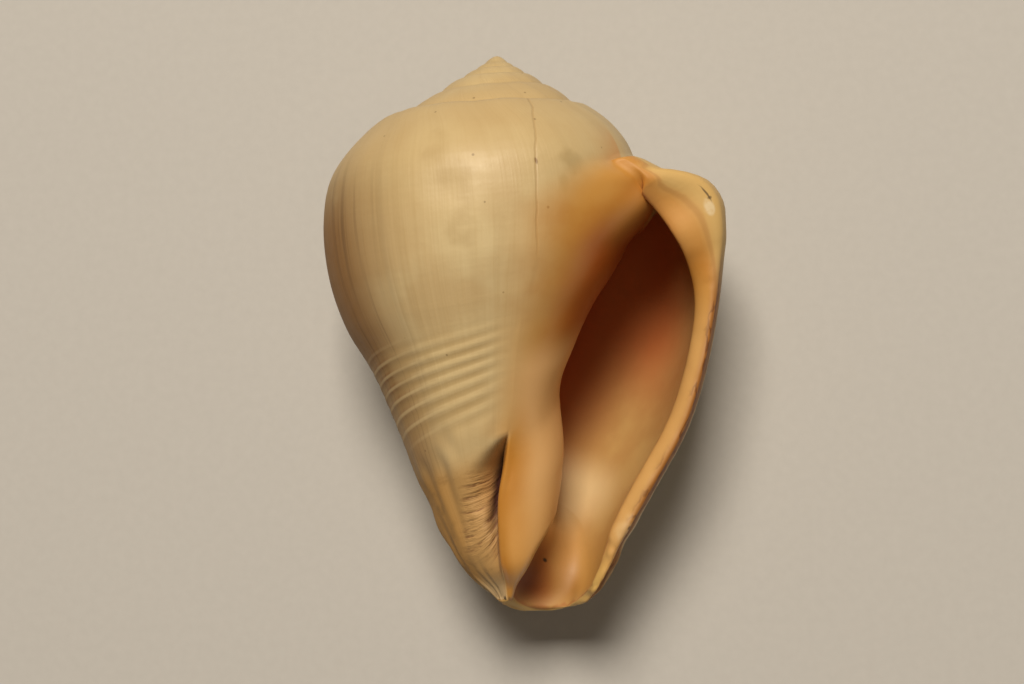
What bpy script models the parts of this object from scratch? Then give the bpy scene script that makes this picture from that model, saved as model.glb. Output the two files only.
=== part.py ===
# Crown conch shell, grown as one piece: a low spire, a wide last whorl and a long open aperture
# Lengths here are millimetres, turned to metres when the mesh is made
# The shell is worked out about its coiling axis, with the apex up at +Y and the mouth facing +Z
# `turn` counts whorls back from the right-hand side, and `drop` is the distance below the apex
import math

import bmesh
import bpy
import numpy as np

for old in list(bpy.data.objects):
    bpy.data.objects.remove(old, do_unlink=True)

MM = 0.001

# Growth
WHORL_RATIO = 1.62
LIP_TURN = -0.092
SPIRE_TURNS = 4.25
CAVITY_TURNS = 0.80

# Walls, the crease and the callus at the top of the mouth, the chink and the canal end
LIP_WALL = 2.2
DEEP_WALL = 1.7
CREASE_STEP = 0.030
CREASE_DROP = 3.8
FUNNEL_DROP = 5.0
CALLUS_FILL = 2.6
FILL_FROM = 0.23
CHINK_DEPTH = 4.8
CHINK_SIDE = 0.16
CANAL_REACH = 1.1
CANAL_WALL = 0.7
LIP_THIN = 0.38
CANAL_AXIS = (3.8, 0.8)
TIP_WEAR = 1.5

# How the shell lies: tipped about X, rolled about Y, then set down on a small worn flat
LEAN_DEG = 7.0
ROLL_DEG = 6.0
BASE_CENTRE = (2.264, -29.994, -24.131)

# Whorl outline, from the suture to the canal end, as (radius, drop) at four azimuths
# The radius of the first station is worked out, since it lies on the whorl before
STATIONS = (0, 0.03, 0.06, 0.10, 0.135, 0.17, 0.22, 0.285, 0.38, 0.48, 0.58, 0.69, 0.80, 0.885, 0.94, 1)
AGES = (-0.1, 0.0, 0.5, 0.75, 1.0, 2.0)
RIGHT = (
    (14.5, 11.3), (16.2, 12.1), (18.0, 12.95), (20.5, 13.25), (22.6, 14.2), (23.9, 16.0),
    (24.35, 19.0), (24.0, 22.8), (23.25, 28.5), (21.9, 34.8), (19.9, 40.65), (16.4, 46.95),
    (13.15, 52.6), (11.3, 56.1), (10.1, 57.8), (8.7, 59.25),
)
LEFT = (
    (10.2, 6.65), (12.15, 6.85), (13.5, 7.6), (14.9, 8.8), (16.2, 10.1), (17.5, 11.8),
    (18.6, 14.15), (19.15, 17.95), (18.7, 23.7), (16.95, 29.15), (14.15, 33.9), (11.85, 39.15),
    (9.35, 45.65), (7.05, 51.1), (4.8, 55.2), (1.1, 58.8),
)
FRONT = (
    (9.1, 6.0), (10.8, 6.05), (11.95, 6.75), (13.2, 7.8), (14.35, 8.95), (15.5, 10.45),
    (16.5, 12.5), (16.95, 15.9), (16.25, 21.0), (14.45, 25.9), (12.3, 30.3), (10.05, 35.3),
    (7.6, 41.7), (6.0, 47.8), (4.6, 53.5), (2.7, 58.8),
)
INNER = (
    (8.1, 5.25), (9.2, 5.6), (10.1, 6.1), (11.35, 6.95), (12.45, 7.95), (13.5, 9.25),
    (14.4, 11.05), (14.9, 14.0), (14.45, 18.7), (12.6, 22.7), (9.9, 26.5), (7.85, 30.55),
    (6.1, 35.9), (6.35, 44.0), (5.0, 50.5), (1.5, 56.7),
)

# Azimuth lines, as (station, turns): the lip edge, its inner edge, and the callus edge one whorl back
LIP_LINE = (
    (0, 0.06, 0.135, 0.22, 0.48, 0.69, 0.87, 0.93, 0.97, 1),
    (-0.092, -0.082, -0.062, -0.052, -0.05, -0.056, -0.064, -0.058, -0.042, -0.008),
)
CALLUS_LINE = (
    (0.215, 0.25, 0.285, 0.38, 0.48, 0.58, 0.80, 0.845, 0.875, 0.905, 0.94, 1),
    (0.908, 0.862, 0.83, 0.797, 0.785, 0.772, 0.756, 0.743, 0.731, 0.727, 0.7285, 0.75),
)


# Thick bevelled top of the lip, as (station, how far its inner edge lies toward the axis, and below)
BEVEL_STATIONS = (0, 0.03, 0.06, 0.10, 0.135, 0.17, 0.22, 0.285, 0.38, 0.48)
BEVEL_IN = (BEVEL_STATIONS, (0.3, 1.3, 2.6, 4.3, 5.1, 5.1, 4.4, 3.5, 2.6, 2.2))
BEVEL_DOWN = (BEVEL_STATIONS, (1.5, 1.0, 0.9, 1.7, 2.6, 2.8, 2.2, 1.4, 0.7, 0.3))

# Chink beside the columella, as (station, share of its depth) and (station, width)
CHINK_LINE = (
    (0.788, 0.81, 0.835, 0.86, 0.885, 0.91, 0.945, 0.965),
    (0, 0.55, 1.0, 0.95, 0.6, 0.22, 0.08, 0),
)
CHINK_WIDTH = ((0.788, 0.81, 0.84, 0.87, 0.90, 0.93, 1), (0.8, 1.7, 2.5, 2.3, 1.3, 0.7, 0.6))

# Mesh counts: columns a whorl, rows above and below the suture junction, rim, canal floor, cavity
COLUMNS = 48
TOP_ROWS = 5
SIDE_ROWS = 22
RIM_ROWS = 4
FLOOR_ROWS = 9
DEPTH_ROWS = 16


def smooth(x):
    x = np.clip(x, 0.0, 1.0)
    return x * x * (3.0 - 2.0 * x)


def bell(x):
    return np.exp(-(x * x))


def unit(v):
    return v / np.maximum(np.linalg.norm(v, axis=-1, keepdims=True), 1e-9)


def blend(a, b, w):
    return a + (b - a) * w


def cubic(p0, p1, m0, m1, t):
    t2 = t * t
    t3 = t2 * t
    return (2 * t3 - 3 * t2 + 1) * p0 + (t3 - 2 * t2 + t) * m0 + (3 * t2 - 2 * t3) * p1 + (t3 - t2) * m1


def curve(x, knots, rows):
    """Smooth curve through rows of values at the knots. rows is (points, knots, values)."""
    x = np.asarray(x, float)
    knots = np.asarray(knots, float)
    gap = np.diff(knots)
    rise = np.diff(rows, axis=1) / gap[:, None]
    slope = np.empty_like(rows)
    slope[:, 0] = rise[:, 0]
    slope[:, -1] = rise[:, -1]
    share = (gap[1:] / (gap[:-1] + gap[1:]))[:, None]
    slope[:, 1:-1] = share * rise[:, :-1] + (1.0 - share) * rise[:, 1:]
    i = np.clip(np.searchsorted(knots, x, side="right") - 1, 0, len(gap) - 1)
    pick = np.arange(len(x)) if len(rows) > 1 else np.zeros(len(x), int)
    width = gap[i][:, None]
    t = (x[:, None] - knots[i][:, None]) / width
    return cubic(rows[pick, i], rows[pick, i + 1], slope[pick, i] * width, slope[pick, i + 1] * width, t)


def line(x, table):
    x = np.asarray(x, float)
    knots = np.asarray(table[0], float)
    values = np.asarray(table[1], float)
    inside = np.clip(x, knots[0], knots[-1])
    return curve(inside.ravel(), knots, values[None, :, None])[:, 0].reshape(x.shape)


def age_table():
    growth = math.log(WHORL_RATIO)
    right = np.log(RIGHT)
    inner = np.log(INNER)
    lip = right + np.array([0.02, 0.0])
    lip[:7, 1] += np.array([0.08, -0.012, 0.015, 0.035, 0.03, 0.02, 0.01])
    lip[-1, 1] -= 0.018
    return np.stack([lip, right, np.log(LEFT), np.log(FRONT), inner, inner - growth])


AGE_TABLE = age_table()


def outline(turn, station):
    """(radius, drop) of the smooth whorl at each turn and station."""
    turn, station = np.broadcast_arrays(np.asarray(turn, float), np.asarray(station, float))
    shape = turn.shape
    turn = turn.ravel()
    count = AGE_TABLE.shape[1]
    held = np.clip(turn, AGES[0], AGES[-1])
    logs = curve(held, AGES, AGE_TABLE.reshape(1, len(AGES), -1)).reshape(-1, count, 2)
    older = np.maximum(turn - AGES[-1], 0.0) - np.maximum(AGES[0] - turn, 0.0) * 0.4
    logs = logs - (math.log(WHORL_RATIO) * older)[:, None, None]
    rh = curve(station.ravel(), STATIONS, np.exp(logs))
    rh[:, 1] += CANAL_REACH * bell((turn - 0.15) / 0.12) * smooth((station.ravel() - 0.88) / 0.12)
    return rh.reshape(shape + (2,))


def station_at(turn, drop):
    """Station at which the whorl of this turn passes the given drop, below its shelf."""
    low = np.full(np.shape(turn), 0.05)
    high = np.full(np.shape(turn), 0.5)
    for _ in range(30):
        mid = (low + high) / 2
        above = outline(turn, mid)[..., 1] < drop
        low = np.where(above, mid, low)
        high = np.where(above, high, mid)
    return (low + high) / 2


def fit_sutures():
    for k, age in enumerate(AGES[:-1]):
        drop = math.exp(AGE_TABLE[k, 0, 1])
        station = station_at(np.array([age + 1.0]), drop)
        AGE_TABLE[k, 0, 0] = math.log(outline(np.array([age + 1.0]), station)[0, 0])
    AGE_TABLE[-1, 0] = AGE_TABLE[-2, 0] - math.log(WHORL_RATIO)


def place(turn, rh):
    """Point in space, with the axis along Y and the mouth facing +Z."""
    angle = -2.0 * math.pi * np.asarray(turn)
    return np.stack([rh[..., 0] * np.cos(angle), -rh[..., 1], rh[..., 0] * np.sin(angle)], axis=-1)


def chink(turn, station, rh):
    """How far the surface falls into the chink beside the columella."""
    depth = CHINK_DEPTH * line(station, CHINK_LINE)
    away = (line(station, CALLUS_LINE) - turn) * 2.0 * math.pi * rh[..., 0]
    width = np.where(away >= 0.0, line(station, CHINK_WIDTH), CHINK_SIDE)
    return depth * bell(away / width)


def tip_wear(turn, station):
    """How much is worn off the tip of the columella."""
    return TIP_WEAR * smooth((station - 0.952) / 0.035) * bell((turn - 0.8) / 0.17)


# Callus that fills the top corner of the mouth
def callus_fill(turn, station):
    band = smooth((station - FILL_FROM) / 0.05) * (1.0 - smooth((station - 0.31) / 0.12))
    return CALLUS_FILL * smooth((turn - 0.82) / 0.12) * band


def skin(turn, station):
    rh = outline(turn, station).copy()
    rh[..., 0] += callus_fill(turn, station) - chink(turn, station, rh) - tip_wear(turn, station)
    return place(turn, rh)


def inner_wall(turn, station, wall):
    """Outline moved inward by the wall thickness."""
    step = 0.004
    here = outline(turn, station)
    ahead = outline(turn, np.minimum(station + step, 1.0)) - outline(turn, np.maximum(station - step, 0.0))
    ahead = unit(ahead)
    return here - wall[..., None] * np.stack([ahead[..., 1], -ahead[..., 0]], axis=-1)


fit_sutures()


# Exterior of the last whorl, from the suture to the canal end and from the lip back one whorl
def stations():
    junction = station_at(np.array([LIP_TURN + 1.0]), math.exp(AGE_TABLE[0, 0, 1]))[0]
    top = np.linspace(0.0, junction, TOP_ROWS + 1)
    side = np.linspace(junction, 1.0, SIDE_ROWS + 1)
    return np.concatenate([top, side[1:]])


def suture(turn):
    return outline(turn, np.zeros_like(turn))


def spire(rows):
    """Whorls before the last, each ending at the suture of the next."""
    count = int(round(COLUMNS * SPIRE_TURNS)) + 1
    turn = LIP_TURN + 1.0 + np.arange(count) / COLUMNS
    next_suture = suture(turn - 1.0)
    end = station_at(turn, next_suture[:, 1])
    share = rows[: TOP_ROWS + 1] / rows[TOP_ROWS]
    station = end[:, None] * share[None, :]
    rh = outline(np.broadcast_to(turn[:, None], station.shape), station)
    rh = rh + (next_suture - rh[:, -1])[:, None, :] * (share ** 4)[None, :, None]
    return place(turn[:, None], rh)


def exterior(rows, first_whorl):
    back = (np.arange(COLUMNS + 1) / COLUMNS)[:, None]
    lip = line(rows, LIP_LINE)
    callus = line(rows, CALLUS_LINE)
    turn = blend(lip[None, :], callus[None, :], back)
    points = skin(turn, np.broadcast_to(rows, turn.shape))
    points[:, 0] = first_whorl[: COLUMNS + 1, -1]
    points[-1, : TOP_ROWS + 1] = first_whorl[0]
    return points


# Inner side of the mouth: callus, columella and the wall of the whorl before
def depths():
    return CAVITY_TURNS * (np.arange(DEPTH_ROWS + 1) / DEPTH_ROWS) ** 1.25


def inner_side(rows, left_edge):
    rim = np.arange(RIM_ROWS + 1) / RIM_ROWS
    deep = depths()
    side = rows[TOP_ROWS:]
    share = (side - side[0]) / (side[-1] - side[0])
    reach = np.concatenate([rim, np.ones(DEPTH_ROWS)])
    deep = np.concatenate([np.zeros(RIM_ROWS), deep])
    step = blend(CREASE_STEP, 0.02, smooth((side - side[0]) / 0.12))
    lean = 0.012 * line(side, CHINK_LINE)[None, :] * np.sin(math.pi * reach)[:, None]
    near = line(side, CALLUS_LINE)[None, :] + step[None, :] * reach[:, None] - lean + deep[:, None]
    far = (LIP_TURN + 1.0 + CREASE_STEP * reach + deep)[:, None]
    turn = blend(near, far, smooth(deep / 0.3)[:, None])
    crease_turn = turn[:, 0]
    funnel = FUNNEL_DROP * smooth(deep / 0.09) * blend(1.0, 0.4, smooth((deep - 0.13) / 0.4))
    crease_drop = suture(crease_turn - 1.0)[:, 1] + (CREASE_DROP * reach + funnel) * WHORL_RATIO ** -deep
    top = station_at(crease_turn, crease_drop)
    bottom = 1.0 - 0.08 * (1.0 - np.exp(-deep / 0.05))
    station = blend(top[:, None], bottom[:, None], share[None, :])
    points = skin(turn, station)
    points[0] = left_edge
    return points


# Inner side of the outer wall, and the floor of the canal
def canal_end(end, t):
    """Points of the canal end of the exterior that face the canal floor at shares t across it."""
    along = (0.3 * t + 0.7 * t ** 5) * COLUMNS
    low = np.clip(np.floor(along).astype(int), 0, COLUMNS - 1)
    return blend(end[low], end[low + 1], (along - low)[:, None])


def outer_wall(rows, inner, end):
    deep = depths()[:, None]
    crease = inner[RIM_ROWS:, 0]
    hinge = inner[RIM_ROWS:, -1]
    shrink = WHORL_RATIO ** -deep
    near = line(rows, LIP_LINE) + 0.008 - 0.022 * (1.0 - smooth((rows - 0.18) / 0.14))
    near = near + (LIP_TURN + CREASE_STEP - near[0]) * (1.0 - smooth(rows / 0.12))
    far = LIP_TURN + CREASE_STEP
    turn = blend(near[None, :] + deep, far + deep, smooth(deep / 0.3))
    low = 1.0 - 0.24 * (1.0 - np.exp(-deep / 0.08))
    station = rows[None, :] * blend(1.0, low, rows[None, :])
    thin = blend(1.0, blend(LIP_THIN, 0.85, smooth(deep / 0.08)), smooth((station - 0.7) / 0.25))
    wall = blend(LIP_WALL, DEEP_WALL, smooth(deep / 0.4)) * shrink * thin
    rh = inner_wall(turn, station, wall)
    bevel = np.stack([-line(station, BEVEL_IN), line(station, BEVEL_DOWN)], axis=-1) * shrink[..., None]
    thick = (1.0 - smooth((station - 0.25) / 0.25)) * (1.0 - 0.6 * smooth(deep / 0.35))
    rh = blend(rh, outline(turn, station) + bevel, thick[..., None])
    points = place(turn, rh)
    pull = 1.0 - smooth(rows / 0.17)
    points = points + (crease - points[:, 0])[:, None, :] * pull[None, :, None]
    points[:, 0] = crease
    edge = points[:, -1]
    down = unit(edge - points[:, -2])
    away = unit(hinge * np.array([1.0, 0.0, 1.0]))
    over = unit(inner[RIM_ROWS:, -1] - np.roll(inner[RIM_ROWS:, -1], -1, axis=0))
    over[-1] = over[-2]
    rise = unit(inner[RIM_ROWS:, -2] - hinge)
    arrive = unit(blend(unit(over * 0.5 + away), rise, smooth(deep / 0.2)))
    pull = (blend(20.0, 12.0, smooth(deep / 0.2)) * shrink)[:, :, None]
    t = (np.arange(1, FLOOR_ROWS + 1) / FLOOR_ROWS)[None, :, None]
    floor = cubic(edge[:, None], hinge[:, None], pull * down[:, None], pull * arrive[:, None], t)
    lip = canal_end(end, t[0, :, 0])
    inward = np.stack([CANAL_AXIS[0] - lip[:, 0], np.zeros(FLOOR_ROWS), CANAL_AXIS[1] - lip[:, 2]], axis=-1)
    goal = lip + CANAL_WALL * unit(unit(inward) + np.array([0.0, 0.15, 0.0]))
    share = (smooth(t / 0.3) * (1.0 - smooth((t - 0.45) / 0.55)))[0]
    floor = floor + (1.0 - smooth(deep / 0.06))[:, :, None] * ((goal - floor[0]) * share)[None]
    floor[:, -1] = hinge
    return np.concatenate([points, floor], axis=1)


# Rounded rim between the exterior and the inner side, down the lip and along the canal end
def rim(outer, wall, inner):
    lip_out = outer[0]
    growth = unit(outer[0] - outer[1])
    end_out = canal_end(outer[:, -1], np.linspace(0.0, 1.0, FLOOR_ROWS + 1)[1:])
    start = np.concatenate([lip_out, end_out])
    finish = wall[0]
    lip_count = len(lip_out)
    turned = smooth(np.concatenate([np.linspace(-3.0, 0.5, lip_count), np.linspace(0.55, 3.0, FLOOR_ROWS)]))
    turned = turned[:, None]
    growth = np.concatenate([growth, np.repeat(growth[-1:], FLOOR_ROWS, axis=0)])
    push = unit(blend(growth, np.array([[0.0, -1.0, 0.0]]), turned))
    size = np.linalg.norm(finish - start, axis=1, keepdims=True)
    size = blend(1.3, 0.55, turned) * np.minimum(size, 3.4)
    t = (np.arange(RIM_ROWS + 1) / RIM_ROWS)[:, None, None]
    points = cubic(start[None], finish[None], (push * size)[None], (-push * size)[None], t)
    points[-1] = finish
    points[0, :lip_count] = lip_out
    top = inner[: RIM_ROWS + 1, 0]
    bottom = inner[: RIM_ROWS + 1, -1]
    fade = 1.0 - smooth(np.arange(points.shape[1]) / (TOP_ROWS * 0.8))
    points = points + (top - points[:, 0])[:, None, :] * fade[None, :, None]
    fade = smooth((np.arange(points.shape[1]) - points.shape[1] + 1) / (FLOOR_ROWS * 0.3) + 1.0)
    points = points + (bottom - points[:, -1])[:, None, :] * fade[None, :, None]
    points[-1] = finish
    points[0, :lip_count] = lip_out
    points[:, 0] = top
    points[:, -1] = bottom
    return points, lip_count


class Skin:
    """Vertices welded by position, and the faces between them."""

    def __init__(self):
        self.index = {}
        self.points = []
        self.faces = []

    def add(self, point):
        key = tuple(np.round(point, 6))
        if key not in self.index:
            self.index[key] = len(self.points)
            self.points.append(point)
        return self.index[key]

    def face(self, corners):
        kept = [c for i, c in enumerate(corners) if c != corners[i - 1]]
        if len(set(kept)) > 2:
            self.faces.append(kept)

    def grid(self, points):
        ids = [[self.add(p) for p in row] for row in points]
        for a, b in zip(ids, ids[1:]):
            for i in range(len(a) - 1):
                self.face([a[i], a[i + 1], b[i + 1], b[i]])

    def ladder(self, one, two):
        """Triangles between two lines of points that run side by side, by the shorter diagonal."""
        a = [self.add(p) for p in one]
        b = [self.add(p) for p in two]
        i = j = 0
        while i < len(a) - 1 or j < len(b) - 1:
            along_b = j < len(b) - 1
            along_a = i < len(a) - 1
            if along_a and along_b:
                along_a = np.linalg.norm(one[i + 1] - two[j]) <= np.linalg.norm(one[i] - two[j + 1])
            if along_a:
                self.face([a[i], a[i + 1], b[j]])
                i += 1
            else:
                self.face([a[i], b[j + 1], b[j]])
                j += 1

    def fan(self, loop, centre):
        ids = [self.add(p) for p in loop]
        middle = self.add(centre)
        for a, b in zip(ids, ids[1:]):
            self.face([a, b, middle])


def build():
    rows = stations()
    whorls = spire(rows)
    outer = exterior(rows, whorls)
    inner = inner_side(rows, outer[-1, TOP_ROWS:])
    wall = outer_wall(rows, inner, outer[:, -1])
    edge, lip_count = rim(outer, wall, inner)
    made = Skin()
    made.grid(outer)
    made.grid(whorls)
    made.grid(inner)
    made.grid(wall)
    made.grid(edge[:, :lip_count])
    made.grid(edge[1:, lip_count - 1 :])
    made.ladder(outer[:, -1], np.concatenate([edge[:2, lip_count - 1], edge[1, lip_count:]]))
    made.ladder(wall[-1], inner[-1])
    tip = whorls[-1 - COLUMNS :, 0]
    loop = np.concatenate([whorls[-1, ::-1], tip[::-1][1:]])
    rings = [loop] + [loop * np.array([s, s ** 1.7, s]) for s in (0.75, 0.5, 0.25)]
    made.grid(rings)
    made.fan(rings[-1], np.zeros(3))
    return made


def lay_down(points):
    """Turn the shell to how it rests, set it on the floor and wear its lowest spot flat."""
    lean = math.radians(LEAN_DEG)
    roll = math.radians(ROLL_DEG)
    tip = np.array([[1, 0, 0], [0, math.cos(lean), -math.sin(lean)], [0, math.sin(lean), math.cos(lean)]])
    turned = np.array([[math.cos(roll), 0, math.sin(roll)], [0, 1, 0], [-math.sin(roll), 0, math.cos(roll)]])
    points = points @ (turned @ tip).T - np.array(BASE_CENTRE)
    points[:, 2] = np.maximum(points[:, 2], 0.0)
    return points


made = build()
mesh = bpy.data.meshes.new("shell")
mesh.from_pydata((lay_down(np.array(made.points)) * MM).tolist(), [], made.faces)
mesh.validate()
shape = bmesh.new()
shape.from_mesh(mesh)
bmesh.ops.recalc_face_normals(shape, faces=shape.faces)
bmesh.ops.triangulate(shape, faces=shape.faces)
if shape.calc_volume(signed=True) < 0:
    bmesh.ops.reverse_faces(shape, faces=shape.faces)
shape.to_mesh(mesh)
shape.free()
shell = bpy.data.objects.new("shell", mesh)
shell.data.shade_smooth()

# Colour of the worn outer shell
aragonite = bpy.data.materials.new("worn_aragonite")
aragonite.use_nodes = True
surface = aragonite.node_tree.nodes["Principled BSDF"]
surface.inputs["Base Color"].default_value = (0.56, 0.42, 0.24, 1.0)
surface.inputs["Roughness"].default_value = 0.45
surface.inputs["Metallic"].default_value = 0.0
shell.data.materials.append(aragonite)

home = bpy.data.collections.new("crown_conch_shell")
bpy.context.scene.collection.children.link(home)
home.objects.link(shell)
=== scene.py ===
# %% [markdown]
# # A worn crown conch shell
#
# A snail builds its shell by adding to the lip of the mouth. The mouth keeps its shape while
# it grows by the same ratio every turn, so the whole shell follows one rule: an outline, swept
# round an axis and scaled as it goes. It could be sculpted by hand, but a sweep keeps the coil
# true, and every later detail can then be placed by how long ago the lip stood there.
#
# Lengths are millimetres and become metres when the mesh is made. The shell is worked out about
# its own coiling axis, with the spire at +Y and the mouth facing +Z.

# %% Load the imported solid
import math

import bmesh
import bpy
import numpy as np
from mathutils import Matrix, Vector


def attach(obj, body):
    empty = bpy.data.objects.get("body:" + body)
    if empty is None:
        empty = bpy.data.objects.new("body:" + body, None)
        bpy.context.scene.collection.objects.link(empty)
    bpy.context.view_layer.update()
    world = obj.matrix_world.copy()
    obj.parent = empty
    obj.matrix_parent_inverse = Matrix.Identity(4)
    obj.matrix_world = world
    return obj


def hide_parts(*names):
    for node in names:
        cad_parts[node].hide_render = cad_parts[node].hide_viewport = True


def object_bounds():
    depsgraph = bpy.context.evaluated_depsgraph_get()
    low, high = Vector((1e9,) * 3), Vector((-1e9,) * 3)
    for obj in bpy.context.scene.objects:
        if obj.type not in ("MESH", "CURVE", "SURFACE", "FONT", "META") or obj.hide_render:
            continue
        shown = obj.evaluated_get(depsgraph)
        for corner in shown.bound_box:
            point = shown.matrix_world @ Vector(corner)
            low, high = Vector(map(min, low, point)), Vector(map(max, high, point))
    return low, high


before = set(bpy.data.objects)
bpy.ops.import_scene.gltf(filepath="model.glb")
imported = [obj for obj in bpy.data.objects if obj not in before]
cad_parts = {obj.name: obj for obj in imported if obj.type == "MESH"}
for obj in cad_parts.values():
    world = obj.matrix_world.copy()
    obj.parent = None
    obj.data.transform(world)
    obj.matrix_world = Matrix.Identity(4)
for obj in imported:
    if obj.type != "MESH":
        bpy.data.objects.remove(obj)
cad_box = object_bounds()
MM = 0.001
print("solid box, m:", [[round(v, 4) for v in corner] for corner in cad_box])

# %% [markdown]
# ## Growth
#
# One whorl of this shell is 1.62 times as large as the one before it. A position on the shell is
# a `turn`, counted in whorls back from the right-hand side, and a `station`, which runs from 0 at
# the suture to 1 at the tip of the canal. The outline was read as a radius and a drop below the
# spire on four sides of the last whorl. A smooth curve through so few points gives a calmer
# surface than a dense trace would.

# %% Growth constants, in turns and mm
WHORL_RATIO = 1.62  # size of a whorl over that of the one before
LIP_TURN = -0.092  # where the lip meets the older whorl
SPIRE_TURNS = 4.25
CAVITY_TURNS = 0.80  # how far the chamber winds in
LIP_WALL = 2.2
DEEP_WALL = 1.7
LIP_THIN = 0.38  # share of the wall that is left low on the lip
CREASE_STEP = 0.030  # turns across the rim at its top
CREASE_DROP = 3.8  # top corner of the mouth, below the suture
FUNNEL_DROP = 5.0  # and how much farther it sinks behind the lip
CALLUS_FILL = 2.6
FILL_FROM = 0.23  # station where the callus starts to fill that corner
CHINK_DEPTH = 4.8
CHINK_SIDE = 0.16  # width of the chink's steep side, along the columella
CANAL_REACH = 1.1  # how much farther the canal reaches in front
CANAL_WALL = 0.7
CANAL_AXIS = (3.8, 0.8)  # x and z of the middle of the canal end
TIP_WEAR = 1.5
print("the chamber ends at", round(WHORL_RATIO ** -CAVITY_TURNS, 2), "of its size at the mouth")

# %% Outlines of the last whorl, as (radius, drop) in mm
STATIONS = (
    0, 0.03, 0.06, 0.10, 0.135, 0.17, 0.22, 0.285, 0.38, 0.48, 0.58, 0.69, 0.80, 0.885, 0.94, 1,
)
RIGHT = (
    (14.5, 11.3), (16.2, 12.1), (18.0, 12.95), (20.5, 13.25), (22.6, 14.2), (23.9, 16.0),
    (24.35, 19.0), (24.0, 22.8), (23.25, 28.5), (21.9, 34.8), (19.9, 40.65), (16.4, 46.95),
    (13.15, 52.6), (11.3, 56.1), (10.1, 57.8), (8.7, 59.25),
)
LEFT = (
    (10.2, 6.65), (12.15, 6.85), (13.5, 7.6), (14.9, 8.8), (16.2, 10.1), (17.5, 11.8),
    (18.6, 14.15), (19.15, 17.95), (18.7, 23.7), (16.95, 29.15), (14.15, 33.9), (11.85, 39.15),
    (9.35, 45.65), (7.05, 51.1), (4.8, 55.2), (1.1, 58.8),
)
FRONT = (
    (9.1, 6.0), (10.8, 6.05), (11.95, 6.75), (13.2, 7.8), (14.35, 8.95), (15.5, 10.45),
    (16.5, 12.5), (16.95, 15.9), (16.25, 21.0), (14.45, 25.9), (12.3, 30.3), (10.05, 35.3),
    (7.6, 41.7), (6.0, 47.8), (4.6, 53.5), (2.7, 58.8),
)
INNER = (
    (8.1, 5.25), (9.2, 5.6), (10.1, 6.1), (11.35, 6.95), (12.45, 7.95), (13.5, 9.25),
    (14.4, 11.05), (14.9, 14.0), (14.45, 18.7), (12.6, 22.7), (9.9, 26.5), (7.85, 30.55),
    (6.1, 35.9), (6.35, 44.0), (5.0, 50.5), (1.5, 56.7),
)
print("points in each outline:", len(STATIONS))

# %% Lines across the whorl, as (stations, values)
# The lip, the edge of the callus, the bevel of the lip and the chink beside the columella.
LIP_LINE = (
    (0, 0.06, 0.135, 0.22, 0.48, 0.69, 0.87, 0.93, 0.97, 1),
    (-0.092, -0.082, -0.062, -0.052, -0.05, -0.056, -0.064, -0.058, -0.042, -0.008),
)
CALLUS_LINE = (
    (0.215, 0.25, 0.285, 0.38, 0.48, 0.58, 0.80, 0.845, 0.875, 0.905, 0.94, 1),
    (0.908, 0.862, 0.83, 0.797, 0.785, 0.772, 0.756, 0.743, 0.731, 0.727, 0.7285, 0.75),
)
BEVEL_STATIONS = (0, 0.03, 0.06, 0.10, 0.135, 0.17, 0.22, 0.285, 0.38, 0.48)
BEVEL_IN = (BEVEL_STATIONS, (0.3, 1.3, 2.6, 4.3, 5.1, 5.1, 4.4, 3.5, 2.6, 2.2))
BEVEL_DOWN = (BEVEL_STATIONS, (1.5, 1.0, 0.9, 1.7, 2.6, 2.8, 2.2, 1.4, 0.7, 0.3))
CHINK_LINE = (
    (0.788, 0.81, 0.835, 0.86, 0.885, 0.91, 0.945, 0.965),
    (0, 0.55, 1.0, 0.95, 0.6, 0.22, 0.08, 0),
)
CHINK_WIDTH = ((0.788, 0.81, 0.84, 0.87, 0.90, 0.93, 1), (0.8, 1.7, 2.5, 2.3, 1.3, 0.7, 0.6))
print("widest bevel, mm:", max(BEVEL_IN[1]), "widest chink, mm:", max(CHINK_WIDTH[1]))

# %% [markdown]
# ## Smooth curves through a few numbers
#
# Each table is joined by cubic pieces whose slopes are weighted by the spacing of the points, so
# unevenly spaced points don't make the curve swing out. The same function blends single values,
# whole outlines and outlines at different ages.

# %% Curve helpers
def smooth(x):
    """Eases from 0 to 1 while x goes from 0 to 1."""
    x = np.clip(x, 0.0, 1.0)
    return x * x * (3.0 - 2.0 * x)


def fall(x):
    """Eases from 1 to 0 while x goes from 0 to 1."""
    return 1.0 - smooth(x)


def bell(x):
    """1 where x is 0, and fading out on both sides."""
    return np.exp(-(x * x))


def unit(v):
    """Vectors brought to length 1."""
    return v / np.maximum(np.linalg.norm(v, axis=-1, keepdims=True), 1e-9)


def blend(a, b, w):
    """a where w is 0, and b where w is 1."""
    return a + (b - a) * w


def cubic(p0, p1, m0, m1, t):
    """Curve from p0 to p1 that leaves with the slope m0 and arrives with m1."""
    t2 = t * t
    t3 = t2 * t
    return (2 * t3 - 3 * t2 + 1) * p0 + (t3 - 2 * t2 + t) * m0 + (3 * t2 - 2 * t3) * p1 + (t3 - t2) * m1


# %% Curves through tables
def curve(x, knots, rows):
    """Smooth curve through rows of values at the knots. rows is (points, knots, values)."""
    x = np.asarray(x, float)
    knots = np.asarray(knots, float)
    gap = np.diff(knots)
    rise = np.diff(rows, axis=1) / gap[:, None]
    slope = np.empty_like(rows)
    slope[:, 0] = rise[:, 0]
    slope[:, -1] = rise[:, -1]
    share = (gap[1:] / (gap[:-1] + gap[1:]))[:, None]
    slope[:, 1:-1] = share * rise[:, :-1] + (1.0 - share) * rise[:, 1:]
    i = np.clip(np.searchsorted(knots, x, side="right") - 1, 0, len(gap) - 1)
    pick = np.arange(len(x)) if len(rows) > 1 else np.zeros(len(x), int)
    width = gap[i][:, None]
    t = (x[:, None] - knots[i][:, None]) / width
    return cubic(rows[pick, i], rows[pick, i + 1], slope[pick, i] * width, slope[pick, i + 1] * width, t)


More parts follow.
